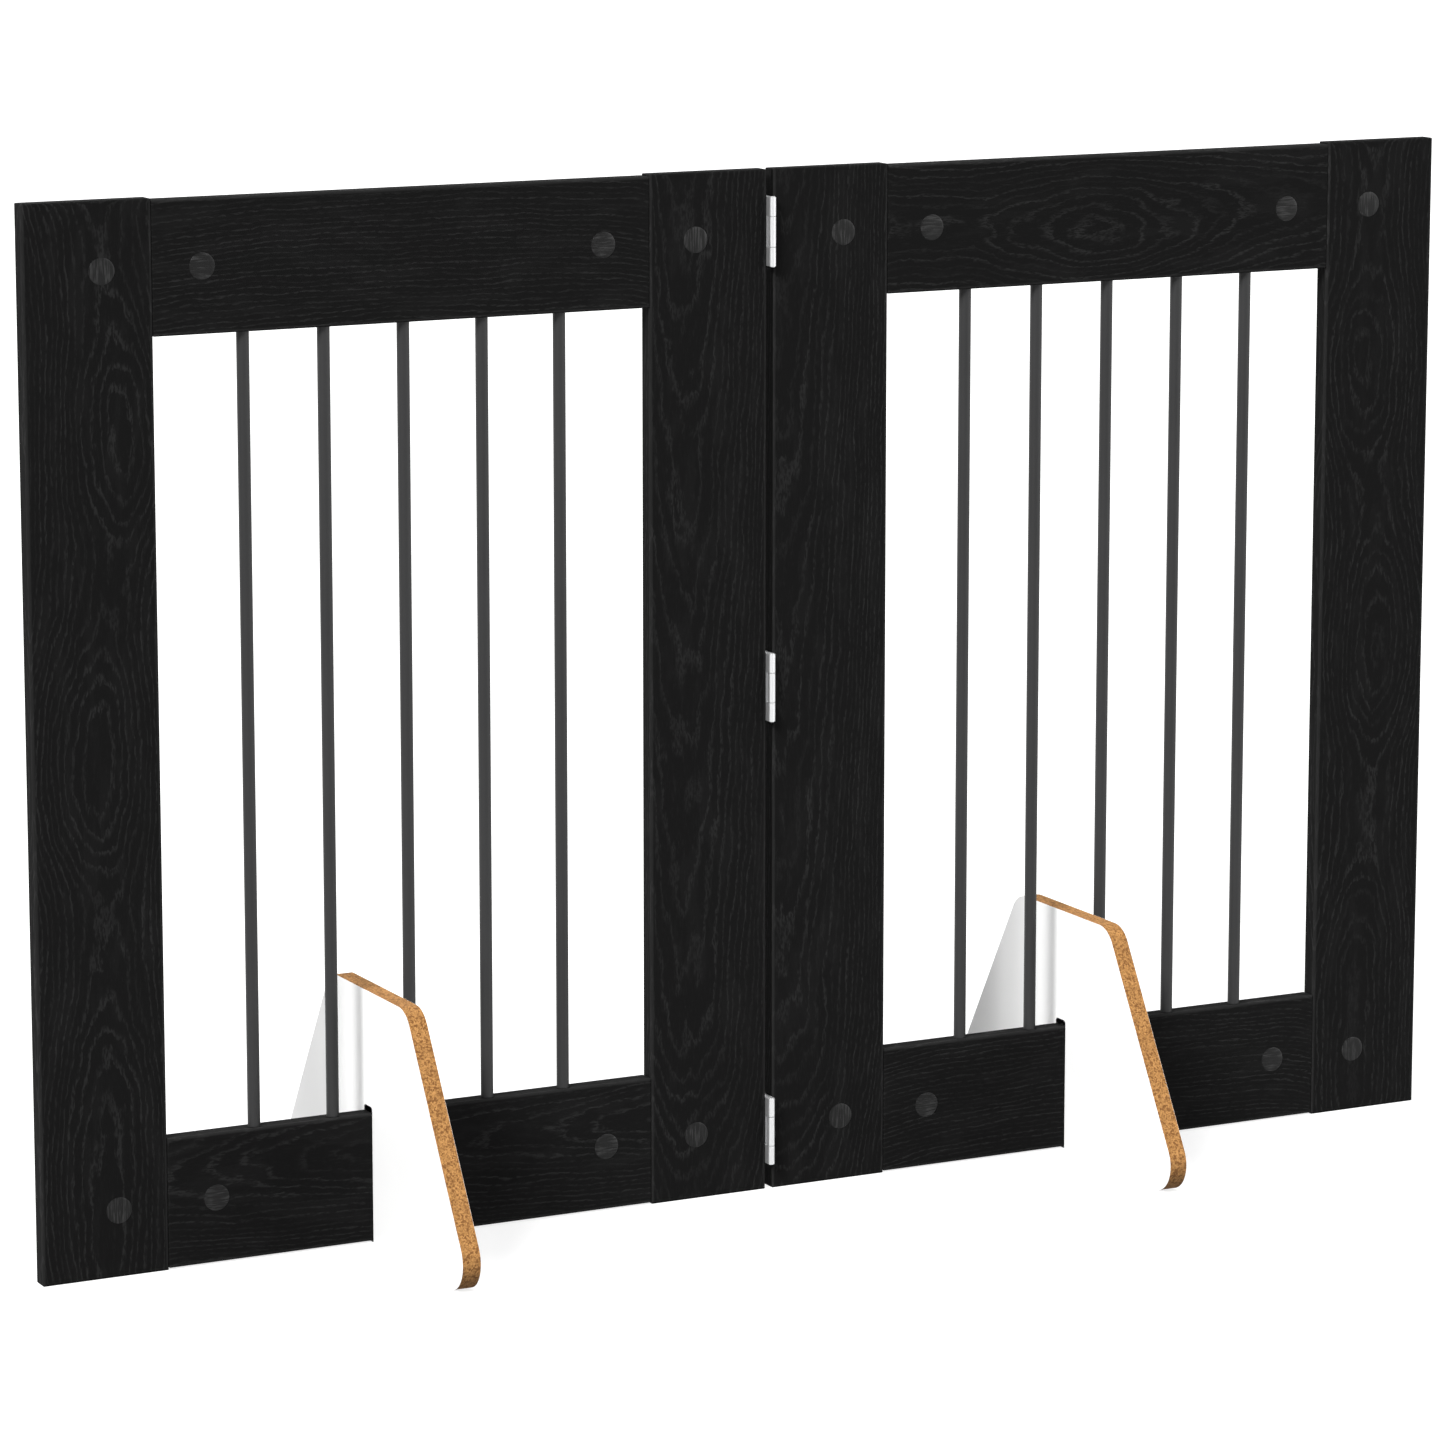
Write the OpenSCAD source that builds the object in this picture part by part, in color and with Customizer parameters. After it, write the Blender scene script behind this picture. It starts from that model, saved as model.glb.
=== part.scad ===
// Free-standing folding pet gate: two barred panels hinged together, on two slip-on feet.
// X runs along the gate with 0 in the middle of the hinge gap, Y runs to the back with 0 in the
// middle of the boards, and Z runs up from the floor. The hinges are on the front, at -Y.

/* [Panels] */
// Width of each panel
panel_w = 525; // [430:1:640]
// Height of each panel
panel_h = 700; // [450:1:1000]
// Thickness of the boards
board_t = 12.5; // [10:0.5:19]
// Width of the upright boards
stile_w = 87; // [64:1:110]
// Height of the cross boards
rail_h = 87; // [64:1:110]
// How far the cross boards stop short of the ends of the uprights
rail_inset = 1.2; // [0:0.1:10]
// Radius of the eased edges of the boards
edge_r = 1.2; // [0.4:0.1:2]

/* [Bars] */
// Diameter of the bars
bar_d = 8.4; // [5:0.1:9]
// Distance from one bar to the next
bar_pitch = 56; // [42:1:70]
// Depth that a bar goes into each cross board
bar_seat = 15; // [6:1:25]
// Radial room around a bar in its hole
bar_fit = 0.05; // [0.02:0.01:0.2]
// Room past the end of a bar in its hole
bar_end_gap = 1; // [0.5:0.1:3]

/* [Feet] */
// Overall depth of a foot from front to back
foot_d = 298; // [220:1:380]
// Height of a foot
foot_h = 170; // [130:1:240]
// Length of the straight top of a foot
foot_top = 102; // [50:1:160]
// Thickness of a foot
foot_t = 13; // [9:0.5:19]
// Radius of the corners of a foot
foot_r = 20; // [5:1:30]
// Room between the middle bar and the foot beside it
foot_bar_gap = 13.3; // [3:0.1:20]
// Room in the slot beyond the thickness of the board
foot_fit = 0.5; // [0.2:0.1:1.5]
// Room in the slot above the cross board
slot_gap = 3.8; // [1:0.1:12]
// Radius of the upper corners of the slot
slot_r = 2.5; // [1:0.1:4]

/* [Hinges] */
// Length of each hinge
hinge_l = 46; // [36:1:80]
// Distance from the end of a panel to the nearest hinge
hinge_margin = 18.5; // [4:0.5:80]
// Outside diameter of the hinge barrels, which is also the gap between the panels
barrel_d = 5; // [4:0.1:8]
// Room between the barrels and the front of the boards
barrel_stand = 0.95; // [0.5:0.05:3]
// Thickness of the hinge leaves
leaf_t = 1.4; // [0.8:0.1:1.7]
// Distance from the edges of a leaf to the faces of the boards
leaf_margin = 0.5; // [0.2:0.1:2]
// Length of the middle knuckle
knuckle_l = 20; // [12:0.5:28]
// Gap between neighbouring knuckles
knuckle_gap = 0.4; // [0.2:0.1:1]
// Radial room around the pin in the knuckles
pin_fit = 0.05; // [0.02:0.01:0.1]
// Thickness of the riveted heads of a hinge pin
pin_head_t = 0.5; // [0.3:0.1:1]

/* [Hinge screws] */
// Diameter of a hinge screw
screw_d = 3; // [2.4:0.1:3.5]
// Length of a hinge screw
screw_l = 16; // [10:1:20]
// Diameter of the countersunk head
screw_head_d = 5.6; // [4.6:0.1:6.5]
// Distance from the end of a leaf to the nearest screw
screw_margin = 9; // [6:0.5:12]
// Radial room around a screw in the board
screw_fit = 0.02; // [0.01:0.01:0.1]

/* [Corner fittings] */
// Distance from a joint to the middle of each cam lock beside it
cam_reach = 34; // [24:1:34]
// Diameter of a cam lock
cam_d = 15; // [12:1:18]
// Diameter of the shank of a cam bolt
bolt_d = 6.8; // [5.6:0.1:7.6]
// Diameter of the ball heads of a cam bolt
bolt_head_d = 5.6; // [4.8:0.1:6]
// Diameter of the necks of a cam bolt
bolt_neck_d = 3.8; // [3:0.1:4.2]
// Diameter of a dowel
dowel_d = 6; // [5:0.5:8]
// Length of a dowel
dowel_l = 30; // [20:1:40]
// Distance from the edge of a cross board to the nearest dowel
dowel_margin = 16.5; // [8:0.5:20]
// Room around the fittings in their holes
fitting_fit = 0.1; // [0.05:0.05:0.3]
// Diameter of a cover cap
cap_d = 17.5; // [16:0.5:24]
// Thickness of a cover cap
cap_t = 0.4; // [0.2:0.1:1]

/* [Hidden] */
$fn = 64;
// Extra length that takes a cut cleanly out through a surface
cut = 1;
bars = 5;

panel_gap = barrel_d;
left_x = -(panel_w + panel_gap) / 2;
right_x = (panel_w + panel_gap) / 2;
front_y = -board_t / 2;

// Places within one panel, from its middle
stile_x = (panel_w - stile_w) / 2;
joint_x = panel_w / 2 - stile_w;
opening_w = 2 * joint_x;
rail_low_z = rail_inset + rail_h / 2;
rail_high_z = panel_h - rail_low_z;
opening_h = panel_h - 2 * (rail_inset + rail_h);
foot_x = -(bar_d / 2 + foot_bar_gap + foot_t / 2);

// Slot of a foot
slot_w = board_t + foot_fit;
slot_h = rail_inset + rail_h + slot_gap;

// Hinges
barrel_r = barrel_d / 2;
bore_r = barrel_r - leaf_t;
pin_r = bore_r - pin_fit;
pin_head_r = (bore_r + barrel_r) / 2;
axis_y = front_y - barrel_stand - barrel_r;
end_knuckle_l = (hinge_l - knuckle_l) / 2 - knuckle_gap;
hinge_low_z = hinge_margin + hinge_l / 2;
hinge_zs = [hinge_low_z, panel_h / 2, panel_h - hinge_low_z];
screw_z = hinge_l / 2 - screw_margin;
screw_tip_l = screw_d;
head_h = (screw_head_d - screw_d) / 2;
recess_w = screw_d / 5;

// Corner fittings
head_room = 0.45;
cam_hole_h = board_t / 2 + bolt_head_d / 2 + head_room;
cam_r = cam_d / 2;
cam_driver_w = 1.4;
cam_driver_h = 1.4;
bolt_end_gap = 1;
bolt_hole_run = 2;
dowel_z = rail_h / 2 - dowel_margin;
dowel_chamfer = 0.8;

black_wood = [0.11, 0.11, 0.11];
cap_black = [0.19, 0.19, 0.19];
bar_grey = [0.27, 0.27, 0.28];
white_board = [0.93, 0.93, 0.92];
zinc = [0.78, 0.79, 0.80];
steel = [0.62, 0.63, 0.65];
beech = [0.80, 0.64, 0.44];

// ---- Boards ----

// A rectangle with eased corners, centred on the origin
module eased_rectangle(w, h) {
    square([w - 2 * edge_r, h], center = true);
    square([w, h - 2 * edge_r], center = true);
    for (x = [-1, 1], y = [-1, 1])
        translate([x * (w / 2 - edge_r), y * (h / 2 - edge_r)])
            circle(edge_r);
}

// A board with every edge eased, centred on the origin
module board(w, h) {
    intersection() {
        linear_extrude(h, center = true) eased_rectangle(w, board_t);
        rotate([90, 0, 0]) linear_extrude(board_t, center = true) eased_rectangle(w, h);
        rotate([90, 0, 90]) linear_extrude(w, center = true) eased_rectangle(board_t, h);
    }
}

// A cylinder along X, centred on the origin
module rod_x(d, l) {
    rotate([0, 90, 0]) cylinder(h = l, d = d, center = true);
}

// A round cut or disc that starts on the front of the boards and runs d_y towards the back
module from_front(d, d_y) {
    translate([0, front_y, 0]) rotate([-90, 0, 0]) cylinder(h = d_y, d = d);
}

// Puts its children at the four joints of a panel, between its stiles and its rails
module at_joints(panel_x) {
    for (side = [-1, 1], z = [rail_low_z, rail_high_z])
        translate([panel_x + side * joint_x, 0, z])
            children();
}

// The holes for the fittings of one joint, in both of its boards
module joint_holes() {
    for (dir = [-1, 1])
        translate([dir * cam_reach, 0, 0]) {
            from_front(cam_d + 2 * fitting_fit, cam_hole_h);
            translate([0, -cut, 0]) from_front(cam_d + 2 * fitting_fit, 2 * cut);
        }
    rod_x(bolt_d + 2 * fitting_fit, 2 * (cam_reach - cam_r + bolt_hole_run));
    for (dir = [-1, 1])
        translate([0, 0, dir * dowel_z])
            rod_x(dowel_d + 2 * fitting_fit, dowel_l + 2 * cut);
}

// An upright board; side says which end of its panel it is at
module stile(panel_x, side) {
    color(black_wood) difference() {
        translate([panel_x + side * stile_x, 0, panel_h / 2]) board(stile_w, panel_h);
        at_joints(panel_x) joint_holes();
        at_hinge_screws(sign(panel_x)) screw_shank(screw_d / 2 + screw_fit, screw_l + cut);
    }
}

// A cross board with a blind hole for each bar
module rail(panel_x, z) {
    color(black_wood) difference() {
        translate([panel_x, 0, z]) board(opening_w, rail_h);
        at_joints(panel_x) joint_holes();
        for (i = [1 : bars])
            translate([panel_x + bar_x(i), 0, panel_h / 2])
                cylinder(h = opening_h + 2 * (bar_seat + bar_end_gap), d = bar_d + 2 * bar_fit, center = true);
    }
}

// ---- Bars ----

function bar_x(i) = (i - (bars + 1) / 2) * bar_pitch;

module bar(panel_x, i) {
    color(bar_grey)
        translate([panel_x + bar_x(i), 0, panel_h / 2])
            cylinder(h = opening_h + 2 * bar_seat, d = bar_d, center = true);
}

// ---- Corner fittings ----

// A cam lock under each cap; its bolt comes in from the side away from dir
module cam_lock(dir) {
    chamber_y = bolt_head_d / 2 + head_room / 2;
    neck_w = bolt_neck_d + head_room;
    difference() {
        translate([0, fitting_fit, 0]) from_front(cam_d, cam_hole_h - 2 * fitting_fit);
        // Chamber for the ball head, open to the back
        translate([0, -chamber_y, 0]) rotate([-90, 0, 0]) cylinder(h = board_t, r = chamber_y);
        // Way in for the neck
        translate([dir > 0 ? -cam_d : 0, -neck_w / 2, -neck_w / 2]) cube([cam_d, board_t, neck_w]);
        // Cross for the screwdriver
        for (angle = [0, 90])
            rotate([0, angle, 0])
                translate([-cam_d / 4, front_y - cut, -cam_driver_w / 2])
                    cube([cam_d / 2, cut + fitting_fit + cam_driver_h, cam_driver_w]);
    }
}

module cam_locks(panel_x) {
    color(zinc) at_joints(panel_x)
        for (dir = [-1, 1])
            translate([dir * cam_reach, 0, 0]) cam_lock(dir);
}

// A bolt with a ball head at each end, which draws the two boards of a joint together
module cam_bolts(panel_x) {
    color(steel) at_joints(panel_x) {
        rod_x(bolt_d, 2 * (cam_reach - cam_r - bolt_end_gap));
        rod_x(bolt_neck_d, 2 * cam_reach);
        for (dir = [-1, 1])
            translate([dir * cam_reach, 0, 0]) sphere(d = bolt_head_d);
    }
}

// A wooden pin with bevelled ends, along X
module dowel() {
    r = dowel_d / 2;
    half = dowel_l / 2;
    rotate([0, 90, 0]) rotate_extrude()
        polygon([
            [0, -half], [r - dowel_chamfer, -half], [r, dowel_chamfer - half],
            [r, half - dowel_chamfer], [r - dowel_chamfer, half], [0, half]
        ]);
}

module dowels(panel_x) {
    color(beech) at_joints(panel_x)
        for (dir = [-1, 1])
            translate([0, 0, dir * dowel_z]) dowel();
}

// Thin stick-on discs that hide the cam locks
module cover_caps(panel_x) {
    color(cap_black) at_joints(panel_x)
        for (dir = [-1, 1])
            translate([dir * cam_reach, -cap_t, 0]) from_front(cap_d, cap_t);
}

// ---- Feet ----

// The outline of a foot, whose straight sides run from corner to corner
module foot_outline() {
    top = [foot_top / 2, foot_h - foot_r];
    bottom = [foot_d / 2 - foot_r, foot_r];
    along = bottom - top;
    outward = foot_r * [-along.y, along.x] / norm(along);
    half = [[bottom.x, 0], bottom + outward, top + outward, [top.x, foot_h]];
    polygon(concat(half, [for (i = [3 : -1 : 0]) [-half[i].x, half[i].y]]));
    for (side = [-1, 1], corner = [top, bottom])
        translate([side * corner.x, corner.y]) circle(foot_r);
}

// The slot that drops over the lower cross board
module slot_outline() {
    corner_x = slot_w / 2 - slot_r;
    translate([-slot_w / 2, -cut]) square([slot_w, slot_h - slot_r + cut]);
    translate([-corner_x, 0]) square([2 * corner_x, slot_h]);
    for (side = [-1, 1])
        translate([side * corner_x, slot_h - slot_r]) circle(slot_r);
}

module foot(panel_x) {
    color(white_board)
        translate([panel_x + foot_x, 0, 0]) rotate([90, 0, 90])
            linear_extrude(foot_t, center = true)
                difference() {
                    foot_outline();
                    slot_outline();
                }
}

// ---- Hinges ----

// Puts its children on the +X or -X side of the hinge gap, turned to face away from it
module on_side(side) {
    mirror([side > 0 ? 0 : 1, 0, 0]) children();
}

// Each knuckle's lowest point and length; the -X leaf has the two end ones
function knuckles(side) =
    side > 0
    ? [[-knuckle_l / 2, knuckle_l]]
    : [[-hinge_l / 2, end_knuckle_l], [hinge_l / 2 - end_knuckle_l, end_knuckle_l]];

// A plate on the edge of the inner stile, with its knuckles in front of the gap
module hinge_leaf(side, z) {
    leaf_y = front_y + leaf_margin;
    leaf_w = board_t - 2 * leaf_margin;
    color(zinc) translate([0, 0, z]) on_side(side) difference() {
        union() {
            translate([bore_r, leaf_y, -hinge_l / 2]) cube([leaf_t, leaf_w, hinge_l]);
            for (k = knuckles(side)) {
                translate([0, axis_y, k[0]]) cylinder(h = k[1], r = barrel_r);
                translate([bore_r, axis_y, k[0]]) cube([leaf_t, leaf_y - axis_y, k[1]]);
            }
        }
        translate([0, axis_y, 0]) cylinder(h = hinge_l + 2 * cut, r = bore_r, center = true);
        for (dir = [-1, 1])
            translate([bore_r, 0, dir * screw_z]) countersink();
    }
}

// The hole in a leaf for one screw
module countersink() {
    translate([-cut, 0, 0]) screw_shank(screw_d / 2 + screw_fit, leaf_t + 2 * cut);
    rotate([0, 90, 0])
        cylinder(h = head_h, r1 = screw_head_d / 2 + screw_fit, r2 = screw_d / 2 + screw_fit);
}

// The pin of one hinge, riveted over at both ends
module hinge_pin(z) {
    color(steel) translate([0, axis_y, z]) {
        cylinder(h = hinge_l, r = pin_r, center = true);
        for (dir = [-1, 1])
            translate([0, 0, dir * (hinge_l + pin_head_t) / 2])
                cylinder(h = pin_head_t, r = pin_head_r, center = true);
    }
}

// Puts its children at every hinge screw of one side, pointing into the board
module at_hinge_screws(side) {
    on_side(side)
        for (z = hinge_zs, dir = [-1, 1])
            translate([bore_r, 0, z + dir * screw_z])
                children();
}

// A plain cylinder from the origin along +X
module screw_shank(r, l) {
    rotate([0, 90, 0]) cylinder(h = l, r = r);
}

// A countersunk screw with a cross recess, pointing along +X
module hinge_screw() {
    difference() {
        union() {
            rotate([0, 90, 0]) cylinder(h = head_h, r1 = screw_head_d / 2, r2 = screw_d / 2);
            screw_shank(screw_d / 2, screw_l - screw_tip_l);
            translate([screw_l - screw_tip_l, 0, 0])
                rotate([0, 90, 0]) cylinder(h = screw_tip_l, r1 = screw_d / 2, r2 = 0);
        }
        for (angle = [0, 90])
            rotate([angle, 0, 0])
                translate([-cut, -screw_d / 2, -recess_w / 2])
                    cube([cut + head_h / 2, screw_d, recess_w]);
    }
}

module hinge_screws(side) {
    color(zinc) at_hinge_screws(side) hinge_screw();
}

stile(left_x, -1);  // left_outer_stile
stile(left_x, 1);  // left_inner_stile
rail(left_x, rail_high_z);  // left_top_rail
rail(left_x, rail_low_z);  // left_bottom_rail
bar(left_x, 1);  // left_bar_1
bar(left_x, 2);  // left_bar_2
bar(left_x, 3);  // left_bar_3
bar(left_x, 4);  // left_bar_4
bar(left_x, 5);  // left_bar_5
cam_locks(left_x);  // left_cam_locks
cam_bolts(left_x);  // left_cam_bolts
dowels(left_x);  // left_dowels
cover_caps(left_x);  // left_cover_caps
foot(left_x);  // left_foot
stile(right_x, -1);  // right_inner_stile
stile(right_x, 1);  // right_outer_stile
rail(right_x, rail_high_z);  // right_top_rail
rail(right_x, rail_low_z);  // right_bottom_rail
bar(right_x, 1);  // right_bar_1
bar(right_x, 2);  // right_bar_2
bar(right_x, 3);  // right_bar_3
bar(right_x, 4);  // right_bar_4
bar(right_x, 5);  // right_bar_5
cam_locks(right_x);  // right_cam_locks
cam_bolts(right_x);  // right_cam_bolts
dowels(right_x);  // right_dowels
cover_caps(right_x);  // right_cover_caps
foot(right_x);  // right_foot
hinge_leaf(-1, hinge_zs[0]);  // bottom_hinge_left_leaf
hinge_leaf(1, hinge_zs[0]);  // bottom_hinge_right_leaf
hinge_pin(hinge_zs[0]);  // bottom_hinge_pin
hinge_leaf(-1, hinge_zs[1]);  // middle_hinge_left_leaf
hinge_leaf(1, hinge_zs[1]);  // middle_hinge_right_leaf
hinge_pin(hinge_zs[1]);  // middle_hinge_pin
hinge_leaf(-1, hinge_zs[2]);  // top_hinge_left_leaf
hinge_leaf(1, hinge_zs[2]);  // top_hinge_right_leaf
hinge_pin(hinge_zs[2]);  // top_hinge_pin
hinge_screws(-1);  // left_hinge_screws
hinge_screws(1);  // right_hinge_screws
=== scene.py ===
"""Looks of the folding pet gate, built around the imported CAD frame. Metres, Z up."""
import math

import bmesh
import bpy
from mathutils import Euler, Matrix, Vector, noise


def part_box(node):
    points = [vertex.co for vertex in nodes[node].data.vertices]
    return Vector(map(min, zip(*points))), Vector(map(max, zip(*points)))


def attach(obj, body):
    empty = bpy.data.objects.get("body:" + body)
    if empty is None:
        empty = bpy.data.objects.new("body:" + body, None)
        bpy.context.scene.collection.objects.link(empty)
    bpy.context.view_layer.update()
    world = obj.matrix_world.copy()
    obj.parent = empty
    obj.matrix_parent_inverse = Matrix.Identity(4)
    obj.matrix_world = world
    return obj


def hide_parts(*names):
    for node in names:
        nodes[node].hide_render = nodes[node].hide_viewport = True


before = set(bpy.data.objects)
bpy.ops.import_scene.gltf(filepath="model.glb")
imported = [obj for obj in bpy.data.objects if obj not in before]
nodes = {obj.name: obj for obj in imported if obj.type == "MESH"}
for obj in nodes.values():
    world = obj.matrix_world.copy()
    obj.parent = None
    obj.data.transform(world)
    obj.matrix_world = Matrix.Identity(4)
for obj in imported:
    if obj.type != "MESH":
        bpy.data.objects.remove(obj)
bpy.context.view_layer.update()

scene = bpy.context.scene
MM = 0.001
SIDES = ("left", "right")
NEUTRAL = (1.0, 1.0, 1.0)


# ---- Shader graphs ----

class Graph:
    """A small builder for one node material. Places are in millimetres from `origin`."""

    def __init__(self, name, origin=(0, 0, 0)):
        self.material = bpy.data.materials.new(name)
        self.material.use_nodes = True
        self.tree = self.material.node_tree
        self.tree.nodes.clear()
        object_place = self.node("ShaderNodeTexCoord").outputs["Object"]
        offset = self.vector("SUBTRACT", object_place, tuple(origin))
        self.place = self.vector("MULTIPLY", offset, (1 / MM,) * 3)

    def put(self, socket, value):
        """Links a socket to another one, or sets its value."""
        if isinstance(value, bpy.types.NodeSocket):
            self.tree.links.new(value, socket)
        else:
            socket.default_value = value

    def node(self, kind, inputs=None, **settings):
        made = self.tree.nodes.new(kind)
        for key, value in settings.items():
            setattr(made, key, value)
        for key, value in (inputs or {}).items():
            self.put(made.inputs[key], value)
        return made

    def math(self, operation, *values):
        inputs = dict(enumerate(values))
        return self.node("ShaderNodeMath", inputs, operation=operation).outputs[0]

    def vector(self, operation, *values):
        inputs = dict(enumerate(values))
        return self.node("ShaderNodeVectorMath", inputs, operation=operation).outputs[0]

    def split(self, vector):
        return self.node("ShaderNodeSeparateXYZ", {0: vector}).outputs

    def join(self, x, y, z):
        return self.node("ShaderNodeCombineXYZ", {0: x, 1: y, 2: z}).outputs[0]

    def noise(self, place, size, detail=2.0, roughness=0.5, seed=0.0):
        """Noise whose features are about `size` mm long on each axis, from 0 to 1."""
        scaled = self.vector("MULTIPLY", place, tuple(1 / s for s in size))
        moved = self.vector("ADD", scaled, (seed, seed * 1.7, seed * 2.3))
        inputs = {"Vector": moved, "Scale": 1.0, "Detail": detail, "Roughness": roughness}
        return self.node("ShaderNodeTexNoise", inputs, noise_dimensions="3D").outputs["Fac"]

    def wobble(self, place, size, amount, detail=2.0, seed=0.0):
        """Noise centred on 0 that reaches about `amount` either way."""
        value = self.noise(place, size, detail, seed=seed)
        return self.math("MULTIPLY", self.math("SUBTRACT", value, 0.5), 2 * amount)

    def cells(self, place, size, seed=0.0):
        """A random value for each cell about `size` mm across."""
        scaled = self.vector("MULTIPLY", place, (1 / size,) * 3)
        moved = self.vector("ADD", scaled, (seed, seed, seed))
        inputs = {"Vector": moved, "Scale": 1.0, "Randomness": 1.0}
        return self.split(self.node("ShaderNodeTexVoronoi", inputs).outputs["Color"])[0]

    def fit(self, value, low, high, to_low=0.0, to_high=1.0):
        """The range low to high mapped smoothly to another, and held at its ends."""
        inputs = {0: value, 1: low, 2: high, 3: to_low, 4: to_high}
        return self.node("ShaderNodeMapRange", inputs, interpolation_type="SMOOTHSTEP").outputs[0]

    def fall(self, value, low, high):
        """1 below low, falling smoothly to 0 at high."""
        return self.fit(value, low, high, 1.0, 0.0)

    def mix(self, factor, a, b):
        """A blend of two colours; 6, 7 and 2 are the Mix node's colour sockets."""
        inputs = {0: factor, 6: a, 7: b}
        return self.node("ShaderNodeMix", inputs, data_type="RGBA").outputs[2]

    def tint(self, value, colour):
        """colour scaled by value."""
        return self.vector("MULTIPLY", self.join(value, value, value), colour)

    def finish(self, colour, roughness, height=None, depth=0.0, **constants):
        """Ends the graph in a Principled shader; depth is the height of the bump in mm."""
        inputs = {"Base Color": colour, "Roughness": roughness}
        inputs.update({key.replace("_", " "): value for key, value in constants.items()})
        shader = self.node("ShaderNodeBsdfPrincipled", inputs)
        if height is not None:
            relief = {"Height": height, "Distance": depth * MM, "Strength": 1.0}
            bump = self.node("ShaderNodeBump", relief)
            self.put(shader.inputs["Normal"], bump.outputs[0])
        output = self.node("ShaderNodeOutputMaterial")
        self.put(output.inputs["Surface"], shader.outputs[0])
        return self.material


def rgba(red, green, blue):
    return (red, green, blue, 1.0)


def set_material(obj, *materials):
    obj.data.materials.clear()
    for material in materials:
        obj.data.materials.append(material)


# ---- Black stained wood ----

# The stain's reflectance, and what each feature of the wood, and the painted highlight on the eased
# edges, adds to it.
STAIN_BASE = 0.0061
STAIN_PATCH = 0.0014
STAIN_GRAIN = 0.0095
STAIN_PORE = 0.0018
PAINTED_EDGE_HIGHLIGHT = 0.0072

# What bends the growth rings: (size in mm, reach in mm, detail), large to small.
RING_WOBBLES = (((30, 30, 90), 3.6, 1.0), ((9, 9, 30), 2.3, 2.0), ((2.2, 2.2, 6), 0.85, 2.0))
RING_RISE = (0.0, 0.12)     # the part of a ring's width over which its line starts
RING_FALL = (0.18, 0.46)    # and over which it fades
RING_LEVEL_SIZE = 1.37      # rings over which their strength changes; at 1 all would be alike
RING_FAINTEST = 0.45        # strength of the faintest rings

EDGE_HIGHLIGHT_WIDTH = (1.3, 2.3)     # mm from a long edge, over which its painted highlight ends
GAP_FACE = (0.02, 0.25)     # mm under the face at the hinge gap, over which its shade ends
GAP_DEPTH = (3.0, 4.2)      # mm behind the board's front, over which it ends too
GAP_SHADE = 0.2             # share of the colour left in the shade


def middle(node):
    """The middle of a CAD node's box, in metres."""
    low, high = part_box(node)
    return (low + high) / 2


def wood_axes(graph, along):
    """The place as (across, depth, along) in mm."""
    x, y, z = graph.split(graph.place)
    return graph.join(x, y, z) if along == "Z" else graph.join(z, y, x)


def along_board(graph, position, stations):
    """A value that runs smoothly through (position from 0 to 1, value) pairs."""
    low = min(value for _, value in stations)
    span = max(max(value for _, value in stations) - low, 0.001)
    made = graph.node("ShaderNodeFloatCurve", {"Value": position})
    curve = made.mapping.curves[0]
    curve.points[0].location = (stations[0][0], (stations[0][1] - low) / span)
    curve.points[1].location = (stations[-1][0], (stations[-1][1] - low) / span)
    for place, value in stations[1:-1]:
        curve.points.new(place, (value - low) / span)
    made.mapping.update()
    return graph.math("MULTIPLY_ADD", made.outputs[0], span, low)


def ring_lines(graph, place, figure, length, seed):
    """Growth rings cut by the board: 1 on a line, 0 between lines."""
    across, depth, along = graph.split(place)
    position = graph.math("MULTIPLY_ADD", along, 1 / length, 0.5)
    heart = figure["heart"]
    heart_across = along_board(graph, position, [(z / length, x) for z, x, _ in heart])
    beside = graph.math("SUBTRACT", across, heart_across)
    beside = graph.math("MULTIPLY", beside, figure["squeeze"])
    heart_depth = along_board(graph, position, [(z / length, d) for z, _, d in heart])
    below = graph.math("SUBTRACT", heart_depth, depth)
    square = graph.math("ADD", graph.math("MULTIPLY", beside, beside),
                        graph.math("MULTIPLY", below, below))
    radius = graph.math("SQRT", square)
    for size, amount, detail in RING_WOBBLES:
        bend = graph.wobble(place, size, amount, detail, seed + size[2])
        radius = graph.math("ADD", radius, bend)
    ring = graph.math("DIVIDE", radius, figure["spacing"])
    part = graph.math("FRACT", ring)
    number = graph.math("FLOOR", ring)
    level = graph.noise(graph.join(number, number, number), (RING_LEVEL_SIZE,) * 3, detail=0.0,
                        seed=seed + 11)
    line = graph.math("MULTIPLY", graph.fit(part, *RING_RISE), graph.fall(part, *RING_FALL))
    return graph.math("MULTIPLY", line, graph.fit(level, 0.32, 0.58, to_low=RING_FAINTEST))


def edge_highlight(graph, place, half_across, half_depth):
    """Painted highlight: 1 on the eased long edges of a board, 0 on its faces."""
    across, depth, _ = graph.split(place)
    beside = graph.math("SUBTRACT", half_across, graph.math("ABSOLUTE", across))
    behind = graph.math("SUBTRACT", half_depth, graph.math("ABSOLUTE", depth))
    reach = graph.math("ADD", graph.math("ADD", beside, behind),
                       graph.wobble(place, (2, 2, 9), 0.35, seed=71))
    return graph.fall(reach, *EDGE_HIGHLIGHT_WIDTH)


def gap_shade(graph, place, half_across, half_depth, side):
    """Painted shade: the share of the colour left at the hinge gap, darkest near the front."""
    across, depth, _ = graph.split(place)
    beside = graph.math("SUBTRACT", half_across, graph.math("MULTIPLY", across, side))
    behind = graph.math("ADD", half_depth, depth)
    on_face = graph.fall(beside, *GAP_FACE)
    near_front = graph.fall(behind, *GAP_DEPTH)
    return graph.fit(graph.math("MULTIPLY", on_face, near_front), 0.0, 1.0, 1.0, GAP_SHADE)


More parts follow.
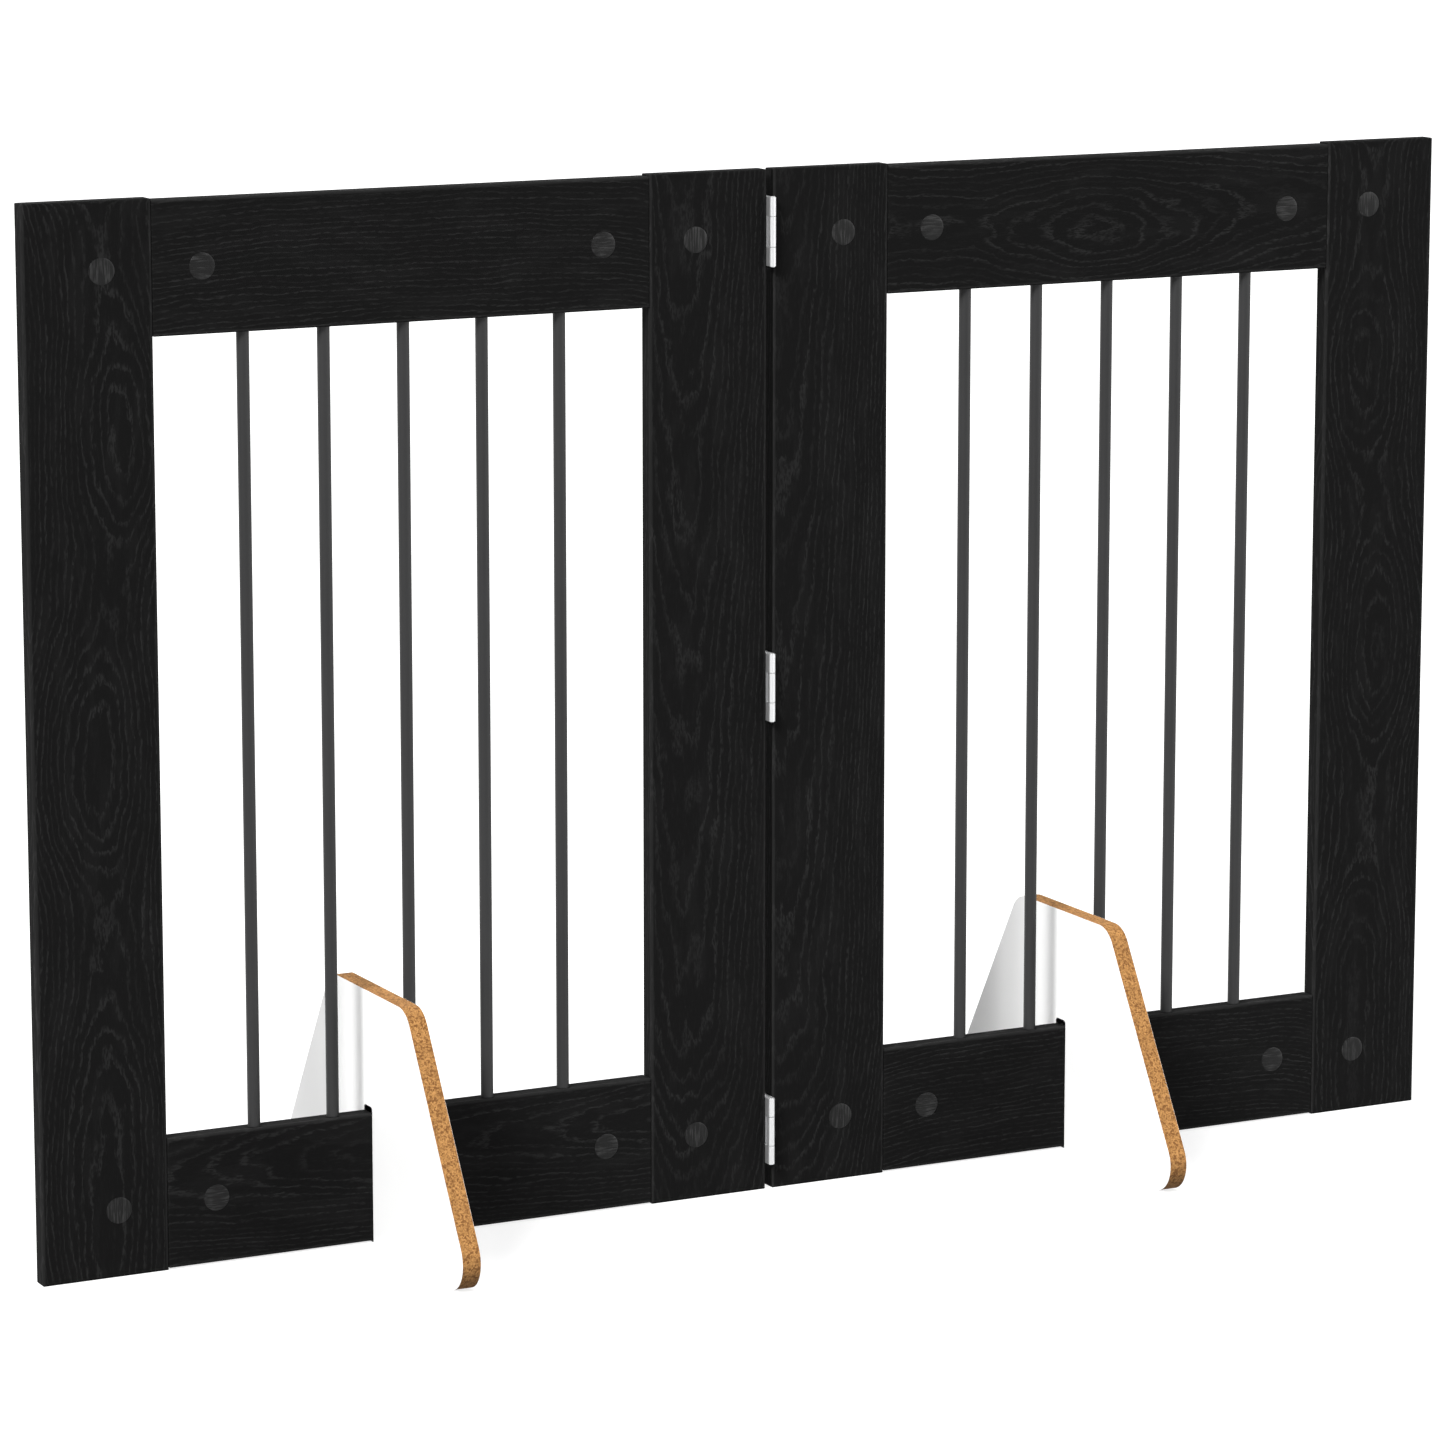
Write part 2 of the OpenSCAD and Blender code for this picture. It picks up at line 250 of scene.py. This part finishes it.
def black_wood(name, node, along, figure, seed):
    """Stained wood with open pores and growth rings that follow the board's own figure."""
    graph = Graph(name, middle(node))
    place = wood_axes(graph, along)
    low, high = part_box(node)
    half = (high - low) / 2 / MM
    half_across = half.x if along == "Z" else half.z
    # Each ring's line is broken into dashes, and fainter in some places than in others.
    line = ring_lines(graph, place, figure, max(high - low) / MM, seed)
    dash = graph.fit(graph.noise(place, (1.1, 1.1, 4), seed=seed + 1), 0.38, 0.58, to_low=0.1)
    faded = graph.fit(graph.noise(place, (16, 16, 55), seed=seed + 3), 0.36, 0.58, to_low=0.62)
    grain = graph.math("MULTIPLY", graph.math("MULTIPLY", line, dash), faded)
    pore = graph.fit(graph.noise(place, (0.7, 0.7, 6), detail=1.0, seed=seed + 2), 0.58, 0.72)
    cloud = graph.noise(place, (14, 14, 60), detail=3.0, roughness=0.6, seed=seed + 4)
    patch = graph.fit(cloud, 0.50, 0.62)
    # Painted highlight: the eased long edges made lighter than the stain.
    wear_and_highlight = edge_highlight(graph, place, half_across, half.y)
    value = graph.math("MULTIPLY_ADD", patch, STAIN_PATCH, STAIN_BASE)
    for feature, share in ((grain, STAIN_GRAIN), (pore, STAIN_PORE), (wear_and_highlight, PAINTED_EDGE_HIGHLIGHT)):
        value = graph.math("ADD", value, graph.math("MULTIPLY", feature, share))
    # Painted shade on the faces at the hinge gap, darkest near the front.
    if "gap_side" in figure:
        shade = gap_shade(graph, place, half_across, half.y, figure["gap_side"])
        value = graph.math("MULTIPLY", value, shade)
    roughness = graph.fit(grain, 0.0, 1.0, 0.62, 0.50)
    height = graph.math("ADD", grain, graph.math("MULTIPLY", pore, 0.4))
    return graph.finish(graph.tint(value, NEUTRAL), roughness, height, depth=0.06,
                        Specular_IOR_Level=0.015)


# spacing: mm between rings. squeeze: how much tighter they are across the board than through it.
# gap_side: the side of the hinge gap, 1 towards +X. heart: where the middle of the log runs, as
# (mm from the board's lower or left end, mm across from its middle, mm behind its middle). Where
# the heart comes near, the rings close into an eye.
FIGURES = {
    "left_outer_stile": dict(spacing=3.1, squeeze=1.0, heart=(
        (0, 3, 18), (60, 3, 16), (150, 5, 23), (235, 4, 31), (337, 0, 17), (450, 10, 30),
        (550, 20, 19), (647, 14, 29), (700, 8, 25))),
    "left_inner_stile": dict(spacing=3.1, squeeze=1.35, gap_side=1, heart=(
        (0, -16, 118), (27, -15, 114), (60, -15, 108), (107, -17, 100), (170, -18, 96),
        (250, -17, 92), (353, -17, 88), (450, -18, 83), (593, -17, 76), (700, -16, 70))),
    "right_inner_stile": dict(spacing=3.1, squeeze=1.35, gap_side=-1, heart=(
        (0, -34, 120), (50, -34, 111), (107, -35, 101), (200, -38, 95), (353, -37, 88),
        (450, -36, 83), (593, -38, 75), (700, -37, 70))),
    "right_outer_stile": dict(spacing=3.1, squeeze=1.0, heart=(
        (0, -8, 19), (60, -8, 16), (150, -5, 24), (235, -1, 32), (345, 5, 17), (450, -2, 30),
        (545, -10, 18), (640, -8, 30), (700, -6, 26))),
    "left_top_rail": dict(spacing=3.5, squeeze=1.0, heart=(
        (0, -124, 20), (175, -119, 18), (351, -125, 22))),
    "right_top_rail": dict(spacing=3.2, squeeze=1.0, heart=(
        (0, 0, 29), (50, -2, 31), (105, -5, 24), (165, -6, 19), (215, -5, 25), (260, -2, 32),
        (305, 2, 38), (351, 4, 42))),
    "left_bottom_rail": dict(spacing=3.2, squeeze=1.1, heart=(
        (0, 18, 46), (75, 20, 38), (175, 20, 30), (235, 18, 26), (351, 16, 17))),
    "right_bottom_rail": dict(spacing=3.4, squeeze=1.0, heart=(
        (0, 122, 14), (175, 130, 16), (351, 120, 18))),
}

for number, (board, figure) in enumerate(FIGURES.items()):
    along = "X" if "rail" in board else "Z"
    wood = black_wood("black_wood_" + board, board, along, figure, 3.1 * number + 1)
    set_material(nodes[board], wood)


# ---- Cover caps, bars, fittings ----

def cap_material(along):
    """Laminate with short pale streaks along the board it sits on."""
    graph = Graph("cap_laminate_" + along)
    size = (1.0, 1.0, 12) if along == "Z" else (12, 1.0, 1.0)
    streak = graph.noise(graph.place, size, seed=4)
    patch = graph.noise(graph.place, (7, 7, 7), detail=1.0, seed=5)
    line = graph.math("MULTIPLY", graph.fit(streak, 0.45, 0.66),
                      graph.fit(patch, 0.3, 0.6, to_low=0.3))
    value = graph.math("MULTIPLY_ADD", line, 0.020, 0.0045)
    roughness = graph.fit(streak, 0.3, 0.7, 0.45, 0.34)
    return graph.finish(graph.tint(value, NEUTRAL), roughness, line, depth=0.04,
                        Specular_IOR_Level=0.14)


def bar_material():
    """Dark grey powder coat."""
    graph = Graph("bar_powder_coat")
    speck = graph.noise(graph.place, (0.5, 0.5, 0.5), seed=7)
    cloud = graph.noise(graph.place, (20, 20, 90), detail=1.0, seed=8)
    value = graph.math("ADD", graph.fit(cloud, 0.3, 0.7, 0.0205, 0.0235),
                       graph.fit(speck, 0.3, 0.7, -0.0015, 0.0015))
    roughness = graph.fit(speck, 0.3, 0.7, 0.42, 0.52)
    return graph.finish(graph.tint(value, (1.0, 1.0, 1.02)), roughness, speck, depth=0.03,
                        Specular_IOR_Level=0.2)


def metal(name, base, rough, scratch, seed):
    """Metal of that colour and roughness, with marks `scratch` mm long on each axis."""
    graph = Graph(name)
    brushed = graph.noise(graph.place, scratch, detail=3.0, seed=seed)
    value = graph.fit(brushed, 0.25, 0.75, 0.93, 1.04)
    roughness = graph.fit(brushed, 0.2, 0.8, rough - 0.05, rough + 0.08)
    return graph.finish(graph.tint(value, base), roughness, brushed, depth=0.01, Metallic=0.85)


def beech():
    """Plain wood with short flecks along X, the way the dowels lie."""
    graph = Graph("dowel_beech")
    fleck = graph.noise(graph.place, (6, 0.8, 0.8), detail=3.0, seed=21)
    colour = graph.mix(graph.fit(fleck, 0.4, 0.65), rgba(0.58, 0.37, 0.19), rgba(0.45, 0.26, 0.12))
    return graph.finish(colour, 0.6, fleck, depth=0.05)


caps = {along: cap_material(along) for along in "XZ"}
hinge_metal = metal("hinge_nickel", (0.60, 0.605, 0.61), rough=0.34, scratch=(0.5, 0.5, 9),
                    seed=31)
FITTINGS = {
    "bar_": bar_material(),
    "leaf": hinge_metal,
    "pin": hinge_metal,
    "screws": metal("screw_zinc", (0.80, 0.81, 0.83), rough=0.32, scratch=(0.5, 0.5, 0.5), seed=33),
    "cam_": metal("cam_zinc", (0.62, 0.63, 0.65), rough=0.42, scratch=(1, 1, 1), seed=35),
    "dowels": beech(),
}
for node, obj in nodes.items():
    for word, material in FITTINGS.items():
        if word in node:
            set_material(obj, material)


# ---- Feet ----

def melamine():
    """The smooth white sheet on the sides of a foot."""
    graph = Graph("white_melamine")
    peel = graph.noise(graph.place, (1.6, 1.6, 1.6), seed=41)
    cloud = graph.noise(graph.place, (60, 60, 60), seed=42)
    value = graph.fit(cloud, 0.3, 0.7, 0.79, 0.81)
    roughness = graph.fit(peel, 0.3, 0.7, 0.28, 0.36)
    return graph.finish(graph.tint(value, (1.0, 1.0, 0.995)), roughness, peel, depth=0.01,
                        Specular_IOR_Level=0.5)


def raw_board():
    """The uncoated edge of the board: light and dark grains, with painted shade near the floor."""
    graph = Graph("raw_board_edge")
    chip = graph.cells(graph.place, 1.1, seed=3.0)
    fleck = graph.noise(graph.place, (1.1, 1.1, 1.1), seed=51)
    patch = graph.noise(graph.place, (9, 9, 9), seed=52)
    light = graph.mix(graph.fit(chip, 0.2, 0.9), rgba(0.285, 0.140, 0.042),
                      rgba(0.400, 0.203, 0.066))
    granule = graph.fit(graph.cells(graph.place, 1.3, seed=9.0), 0.72, 0.80)
    dark = graph.math("MAXIMUM", granule, graph.fit(fleck, 0.51, 0.60, to_high=0.75))
    colour = graph.mix(dark, light, rgba(0.150, 0.062, 0.016))
    colour = graph.mix(graph.fit(patch, 0.35, 0.7, to_high=0.25), colour, rgba(0.215, 0.100, 0.030))
    # Painted shade: the edge darkened near the floor, where it faces down.
    height = graph.split(graph.place)[2]
    painted_shade_height = graph.math("ADD", height, graph.wobble(graph.place, (4, 4, 4), 2.0, seed=53))
    colour = graph.mix(graph.fit(painted_shade_height, 5.0, 14.0, 0.15, 0.0), colour, rgba(0.10, 0.05, 0.020))
    return graph.finish(colour, 0.85, fleck, depth=0.15, Specular_IOR_Level=0.2)


def painted_slot_shade():
    """Painted shade: near black for the walls of the slot in a foot, which are raw board in shade.
    """
    graph = Graph("painted_slot_shade")
    speck = graph.noise(graph.place, (0.8, 0.8, 0.8), seed=55)
    value = graph.fit(speck, 0.3, 0.7, 0.006, 0.012)
    return graph.finish(graph.tint(value, NEUTRAL), 0.7, speck, depth=0.05,
                        Specular_IOR_Level=0.1)


white = melamine()
brown = raw_board()
# Near-black painted shade for the walls of the slots in the feet.
slot_shade = painted_slot_shade()

# Sizes in mm.
SKIN_T = 0.15          # thickness of the white sheet on each side of a foot
ARRIS = 0.1            # width of the eased edge of the white sheet
FOOT_TOP = 102.0       # length of the straight top
FOOT_R = 20.0          # corner radius
SLOT_H = 92.0          # height of the slot that stands over the bottom rail
SLOT_W = 13.0
SLOT_R = 2.5
SLOT_NEAR = 0.01       # how far from the slot's outline a point still belongs to it
SLOT_SHADE_START = 0.5       # height above which the slot's walls get the painted shade
ARC_STEPS = 20
SLOT_ARC_STEPS = 6
EDGE_STEP = 1.2        # spacing of the points along the raw edge
EDGE_ROWS = 10
CHIP_DEPTH = 0.22      # deepest wear of the raw edge
CHIP_AT_SHEET = 0.02   # wear next to the white sheets
CHIP_NOISE = ((0.9, 1.0), (2.1, 0.6))   # (steps per mm, share) of the larger and smaller chips
CHIP_MEAN = 0.35       # share of CHIP_DEPTH worn off where the noise is 0
CHIP_SPREAD = 0.6      # and what the noise adds to that share
SLOT_WEAR = 0.3        # share of the wear that the slot's walls have
SHARP_ANGLE = 35       # degrees; a sharper edge isn't shaded smooth


def arc(centre, radius, start, end, steps):
    """Points (y, z) round an arc from angle start to end, in degrees."""
    angles = [math.radians(start + (end - start) * i / steps) for i in range(steps + 1)]
    return [(centre[0] + radius * math.cos(a), centre[1] + radius * math.sin(a)) for a in angles]


def foot_outline(depth, height):
    """A foot's outline and slot: points (y, z) in mm, anticlockwise from its back lower corner."""
    top = (FOOT_TOP / 2, height - FOOT_R)
    bottom = (depth / 2 - FOOT_R, FOOT_R)
    slope = math.degrees(math.atan2(top[1] - bottom[1], bottom[0] - top[0]))
    half = arc(bottom, FOOT_R, -90, 90 - slope, ARC_STEPS)
    half += arc(top, FOOT_R, 90 - slope, 90, ARC_STEPS)
    mirrored = [(-y, z) for y, z in reversed(half)]
    corner = (SLOT_W / 2 - SLOT_R, SLOT_H - SLOT_R)
    slot = [(-SLOT_W / 2, 0)] + arc((-corner[0], corner[1]), SLOT_R, 180, 90, SLOT_ARC_STEPS)
    slot += arc(corner, SLOT_R, 90, 0, SLOT_ARC_STEPS) + [(SLOT_W / 2, 0)]
    return half + mirrored + slot


def resample(outline, step):
    """The same outline with points at most `step` apart."""
    points = []
    for (y0, z0), (y1, z1) in zip(outline, outline[1:] + outline[:1]):
        count = max(1, math.ceil(math.hypot(y1 - y0, z1 - z0) / step))
        points += [(y0 + (y1 - y0) * i / count, z0 + (z1 - z0) * i / count) for i in range(count)]
    return points


def outward(points):
    """The unit normal of a closed outline at each point."""
    normals = []
    for before, after in zip(points[-1:] + points[:-1], points[1:] + points[:1]):
        along = Vector((after[0] - before[0], after[1] - before[1])).normalized()
        normals.append((along.y, -along.x))
    return normals


def in_slot(y, z):
    """Whether a point of a foot's outline is on the walls of its slot."""
    return abs(y) < SLOT_W / 2 + SLOT_NEAR and z < SLOT_H + SLOT_NEAR


def add_piece(name, bm, body, materials):
    """Makes an object of a mesh in mm, on its CAD body and with its materials."""
    bmesh.ops.recalc_face_normals(bm, faces=bm.faces)
    bmesh.ops.scale(bm, vec=(MM, MM, MM), verts=bm.verts)
    mesh = bpy.data.meshes.new(name)
    bm.to_mesh(mesh)
    bm.free()
    obj = bpy.data.objects.new(name, mesh)
    scene.collection.objects.link(obj)
    set_material(obj, *materials)
    mesh.set_sharp_from_angle(angle=math.radians(SHARP_ANGLE))
    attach(obj, body)
    return obj


def foot_plate(name, body, x_rings, outline, shift, materials, material_of):
    """A plate swept through rings of the outline at the x positions.

    shift(ring number, (x, y, z)) moves a point inwards, in mm; material_of(y, z) picks the
    material of a face that starts at a point.
    """
    bm = bmesh.new()
    normals = outward(outline)
    rings = []
    for number, x in enumerate(x_rings):
        ring = []
        for (y, z), normal in zip(outline, normals):
            inward = shift(number, (x, y, z))
            ring.append(bm.verts.new((x, y - normal[0] * inward, z - normal[1] * inward)))
        rings.append(ring)
    count = len(outline)
    for low, high in zip(rings, rings[1:]):
        for i in range(count):
            j = (i + 1) % count
            face = bm.faces.new((low[i], low[j], high[j], high[i]))
            face.smooth = True
            face.material_index = material_of(*outline[i])
    ends = [bm.faces.new(list(reversed(rings[0]))), bm.faces.new(rings[-1])]
    bmesh.ops.triangulate(bm, faces=ends, ngon_method="EAR_CLIP")
    return add_piece(name, bm, body, materials)


def chipped(number, place):
    """How far the raw edge is chipped in at a place, in mm."""
    if number in (0, EDGE_ROWS):
        return CHIP_AT_SHEET
    rough = sum(share * noise.noise(Vector(place) * pitch) for pitch, share in CHIP_NOISE)
    # Real wear of the raw edge here, in mm.
    wear_and_highlight = CHIP_DEPTH * min(1.0, max(0.0, CHIP_MEAN + CHIP_SPREAD * rough))
    return SLOT_WEAR * wear_and_highlight if in_slot(place[1], place[2]) else wear_and_highlight


def core_material(y, z):
    """Which of the two materials a face gets: the walls of the slot get the painted shade."""
    return 1 if in_slot(y, z) and z > SLOT_SHADE_START else 0


def eased(outer):
    """The shift that eases the edge of a white sheet whose outer face is at x = outer."""
    return lambda number, place: ARRIS if place[0] == outer else 0.0


for side in SIDES:
    low, high = (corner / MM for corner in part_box(side + "_foot"))
    outline = foot_outline(high.y - low.y, high.z - low.z)
    edge = resample(outline, EDGE_STEP)
    core_low, core_high = low.x + SKIN_T, high.x - SKIN_T
    rows = [core_low + (core_high - core_low) * i / EDGE_ROWS for i in range(EDGE_ROWS + 1)]
    # The slot's walls get the painted shade material.
    core = foot_plate(side + "_foot_core", side + "_foot", rows, edge, chipped, (brown, slot_shade),
                      core_material)
    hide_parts(side + "_foot")
    for hand, inner, outer in (("left", core_low, low.x), ("right", core_high, high.x)):
        arris = outer + (ARRIS if inner > outer else -ARRIS)
        foot_plate(f"{side}_foot_skin_{hand}", side + "_foot", sorted((inner, arris, outer)),
                   outline, eased(outer), (white,), lambda y, z: 0)


# ---- Cover caps with rounded rims ----

# (radius, height over the board) from the middle of a cap to its rim, in mm.
CAP_PROFILE = ((0.0, 0.40), (5.0, 0.39), (6.6, 0.36), (7.6, 0.31), (8.25, 0.23), (8.6, 0.13),
               (8.75, 0.0))
CAP_SEGMENTS = 48
CAM_REACH = 34.0       # mm from the end of a rail to the cap on each side of the joint


def cap_disc(bm, x, front_y, z):
    """Adds one cap to a mesh in mm, on the front of a board."""
    middle_vert = bm.verts.new((x, front_y - CAP_PROFILE[0][1], z))
    angles = [math.tau * i / CAP_SEGMENTS for i in range(CAP_SEGMENTS)]
    rings = []
    for radius, height in CAP_PROFILE[1:]:
        places = [(x + radius * math.cos(a), front_y - height, z + radius * math.sin(a))
                  for a in angles]
        rings.append([bm.verts.new(place) for place in places])
    for i in range(CAP_SEGMENTS):
        j = (i + 1) % CAP_SEGMENTS
        bm.faces.new((middle_vert, rings[0][i], rings[0][j])).smooth = True
        for inner, outer in zip(rings, rings[1:]):
            bm.faces.new((inner[i], outer[i], outer[j], inner[j])).smooth = True
    bm.faces.new(rings[-1])


for side in SIDES:
    for board, material in (("stile", caps["Z"]), ("rail", caps["X"])):
        bm = bmesh.new()
        reach = -CAM_REACH if board == "stile" else CAM_REACH
        for rail in ("bottom", "top"):
            low, high = (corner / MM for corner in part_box(f"{side}_{rail}_rail"))
            for x in (low.x + reach, high.x - reach):
                cap_disc(bm, x, low.y, (low.z + high.z) / 2)
        piece = add_piece(f"{side}_{board}_caps", bm, side + "_panel", (material,))
        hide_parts(side + "_cover_caps")


# ---- Stage ----

FLOOR_HALF = 60.0      # m


def floor_material():
    """Pale paint that glows softly, so that the floor stays white."""
    graph = Graph("floor_paint")
    cloud = graph.noise(graph.place, (900, 900, 900), seed=61)
    value = graph.fit(cloud, 0.3, 0.7, 0.34, 0.36)
    return graph.finish(graph.tint(value, NEUTRAL), 0.9, Specular_IOR_Level=0.1,
                        Emission_Color=rgba(1, 1, 1), Emission_Strength=0.78)


floor_mesh = bpy.data.meshes.new("floor")
corners = [(x * FLOOR_HALF, y * FLOOR_HALF, 0) for x, y in ((-1, -1), (1, -1), (1, 1), (-1, 1))]
floor_mesh.from_pydata(corners, [], [(0, 1, 2, 3)])
floor = bpy.data.objects.new("floor", floor_mesh)
scene.collection.objects.link(floor)
set_material(floor, floor_material())
floor.visible_diffuse = False   # its glow doesn't light the gate


def sun(name, strength, spread, azimuth, elevation):
    """A soft light from that azimuth (0 is the front, positive towards +X), in degrees."""
    data = bpy.data.lights.new(name, "SUN")
    data.energy = strength
    data.angle = math.radians(spread)
    obj = bpy.data.objects.new(name, data)
    obj.rotation_euler = Euler((math.radians(90 - elevation), 0, math.radians(azimuth)), "XYZ")
    scene.collection.objects.link(obj)


sun("key_light", strength=5.8, spread=22, azimuth=-61, elevation=42)
sun("fill_light", strength=2.6, spread=60, azimuth=58, elevation=16)
sun("back_light", strength=2.0, spread=25, azimuth=175, elevation=45)

# The heights (0 at the horizon, 1 straight up) between which the world dims, and its brightness
# below and above them.
WORLD_RAMP = {"From Min": 0.13, "From Max": 0.36, "To Min": 1.0, "To Max": 0.12}


def studio_world():
    """White near the horizon, where a camera sees it; dim elsewhere, so that the lights count."""
    world = bpy.data.worlds.new("studio")
    world.use_nodes = True
    tree = world.node_tree
    tree.nodes.clear()
    place = tree.nodes.new("ShaderNodeTexCoord")
    split = tree.nodes.new("ShaderNodeSeparateXYZ")
    height = tree.nodes.new("ShaderNodeMath")
    height.operation = "ABSOLUTE"
    ramp = tree.nodes.new("ShaderNodeMapRange")
    ramp.interpolation_type = "SMOOTHSTEP"
    for key, value in WORLD_RAMP.items():
        ramp.inputs[key].default_value = value
    background = tree.nodes.new("ShaderNodeBackground")
    output = tree.nodes.new("ShaderNodeOutputWorld")
    tree.links.new(place.outputs["Generated"], split.inputs[0])
    tree.links.new(split.outputs[2], height.inputs[0])
    tree.links.new(height.outputs[0], ramp.inputs[0])
    tree.links.new(ramp.outputs[0], background.inputs["Strength"])
    tree.links.new(background.outputs[0], output.inputs[0])
    return world


scene.world = studio_world()
scene.view_settings.view_transform = "Standard"

CAMERA_DOWN = 10.04    # degrees below the horizontal
CAMERA_TURN = -27.07   # degrees about Z; 0 looks straight at the front of the gate
camera_data = bpy.data.cameras.new("camera")
camera_data.lens = 143.6
camera_data.sensor_width = 36
camera_data.shift_y = -0.05
camera_data.clip_end = 200
camera = bpy.data.objects.new("camera", camera_data)
camera.location = (-1.771, -3.402, 1.053)
camera.rotation_euler = (math.radians(90 - CAMERA_DOWN), 0, math.radians(CAMERA_TURN))
scene.collection.objects.link(camera)
scene.camera = camera
